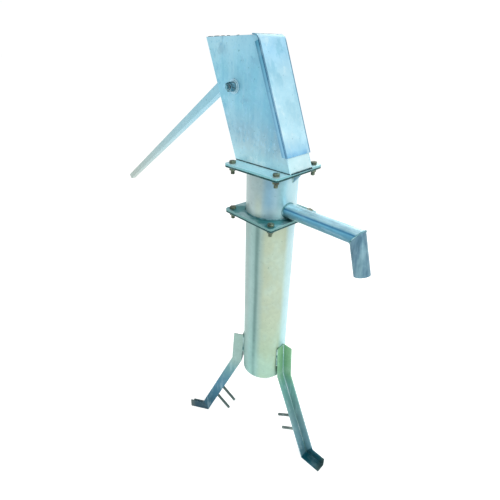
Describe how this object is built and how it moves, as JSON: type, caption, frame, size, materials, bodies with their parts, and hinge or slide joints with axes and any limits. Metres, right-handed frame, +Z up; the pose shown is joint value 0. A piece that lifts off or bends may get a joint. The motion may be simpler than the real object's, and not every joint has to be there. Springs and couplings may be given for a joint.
{
  "type": "hand pump",
  "caption": "Deep-well lever hand pump: three-legged stand, water tank with bent spout, leaning head box with front cover, drooping handle, chain and rod.",
  "frame": {"origin": "centre of the stand pipe's open lower end, on the pump axis; the ground is 0.350 m below it", "axes": "+Z up along the pump axis, +X towards the spout, handle towards -X"},
  "size_m": [1.2933, 0.4676, 1.5463],
  "materials": {
    "axle_steel": "satin",
    "bearing_steel": "polished",
    "chain_steel": "oiled",
    "cover_sheet": "galvanised, satin",
    "galvanised_bar": "galvanised, satin",
    "galvanised_flange": "galvanised, satin",
    "galvanised_leg": "galvanised, satin",
    "galvanised_pipe": "galvanised, satin",
    "galvanised_plate": "galvanised, satin",
    "galvanised_spout": "galvanised, satin",
    "passivated_fastener": "yellow passivated, dull",
    "rod_steel": "dull",
    "welded_steel": "galvanised, satin"
  },
  "bodies": {
    "stand": {"pedestal_pipe": "galvanised_pipe", "pedestal_flange": "galvanised_flange", "leg_front": "galvanised_leg", "leg_left": "galvanised_leg", "leg_right": "galvanised_leg", "anchor_rods": "rod_steel", "tank_bottom_flange": "galvanised_flange", "tank_shell": "galvanised_pipe", "tank_top_flange": "galvanised_flange", "tank_gusset": "galvanised_flange", "spout_pipe": "galvanised_spout", "spout_nozzle": "galvanised_spout", "riser_socket": "welded_steel", "tank_bolts": "passivated_fastener", "tank_nuts": "passivated_fastener", "head_bolts": "passivated_fastener", "head_nuts": "passivated_fastener", "head_flange": "galvanised_flange", "rod_guide": "welded_steel", "side_plate_left": "galvanised_plate", "side_plate_right": "galvanised_plate", "top_plate": "galvanised_plate", "lower_front_plate": "galvanised_plate", "handle_stop": "galvanised_plate", "axle_bushes": "welded_steel", "handle_axle": "axle_steel", "axle_washers": "axle_steel", "axle_nut": "axle_steel", "axle_lock_nut": "axle_steel", "bearing_inner_rings": "bearing_steel", "bearing_spacer": "welded_steel"},
    "handle": {"handle_bar": "galvanised_bar", "bearing_housing": "welded_steel", "chain_quadrant": "welded_steel", "bearing_outer_rings": "bearing_steel", "chain_inner_links": "chain_steel", "chain_outer_links": "chain_steel", "chain_rollers": "chain_steel", "chain_pins": "chain_steel", "chain_anchor_bolt": "passivated_fastener", "chain_anchor_nut": "passivated_fastener"},
    "balls": {"bearing_balls": "bearing_steel"},
    "rod": {"chain_lower_link": "chain_steel", "chain_lower_pin": "chain_steel", "chain_coupling": "welded_steel", "rod_lock_nut": "passivated_fastener", "connecting_rod": "welded_steel"},
    "cover": {"front_cover": "cover_sheet"}
  },
  "joints": [
    {"name": "handle_pivot", "type": "hinge", "parent": "stand", "child": "handle", "pos_m": [-0.12, 0, 1.06], "axis": [0, 1, 0], "range_deg": [0, 55]},
    {"name": "rod_slide", "type": "slide", "parent": "stand", "child": "rod", "axis": [0, 0, 1], "range_m": [-0.1153, 0]},
    {"name": "balls_roll", "type": "hinge", "parent": "stand", "child": "balls", "pos_m": [-0.12, 0, 1.06], "axis": [0, 1, 0], "range_deg": [0, 34.1]},
    {"name": "cover_lift", "type": "slide", "parent": "stand", "child": "cover", "axis": [0.9272, 0, 0.3746], "range_m": [0, 0.12]}
  ],
  "couplings": [
    {"joint": "rod_slide", "follows": "handle_pivot", "m_per_rad": -0.12},
    {"joint": "balls_roll", "follows": "handle_pivot", "ratio": 0.6185}
  ]
}
